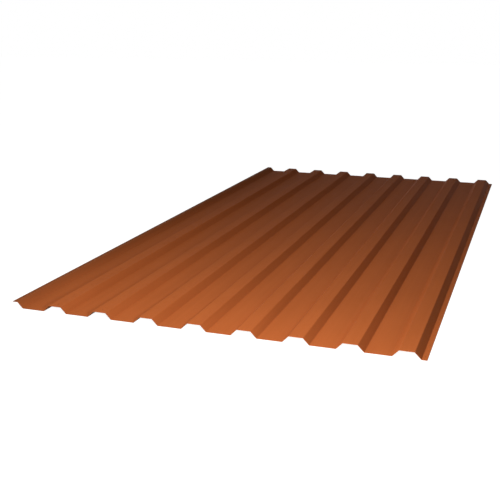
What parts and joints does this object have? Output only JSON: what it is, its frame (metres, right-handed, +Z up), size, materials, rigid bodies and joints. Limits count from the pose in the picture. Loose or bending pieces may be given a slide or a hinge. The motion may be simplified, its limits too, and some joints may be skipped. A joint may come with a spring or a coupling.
{
  "type": "corrugated plastic sheet",
  "caption": "Long thin roofing and cladding sheet of brown-orange plastic, folded into straight trapezoidal ribs, with a lap flat on one edge and a foot on the other.",
  "frame": {"origin": "centre of the sheet's footprint, at the underside of its valleys", "axes": "+Y along the ribs, +X across them from the lap flat towards the foot, +Z up, out of the weather side"},
  "size_m": [1.1464, 2.3, 0.018],
  "materials": {
    "sheet_plastic": "satin"
  },
  "bodies": {
    "root": {"sheet": "sheet_plastic"}
  },
  "joints": []
}
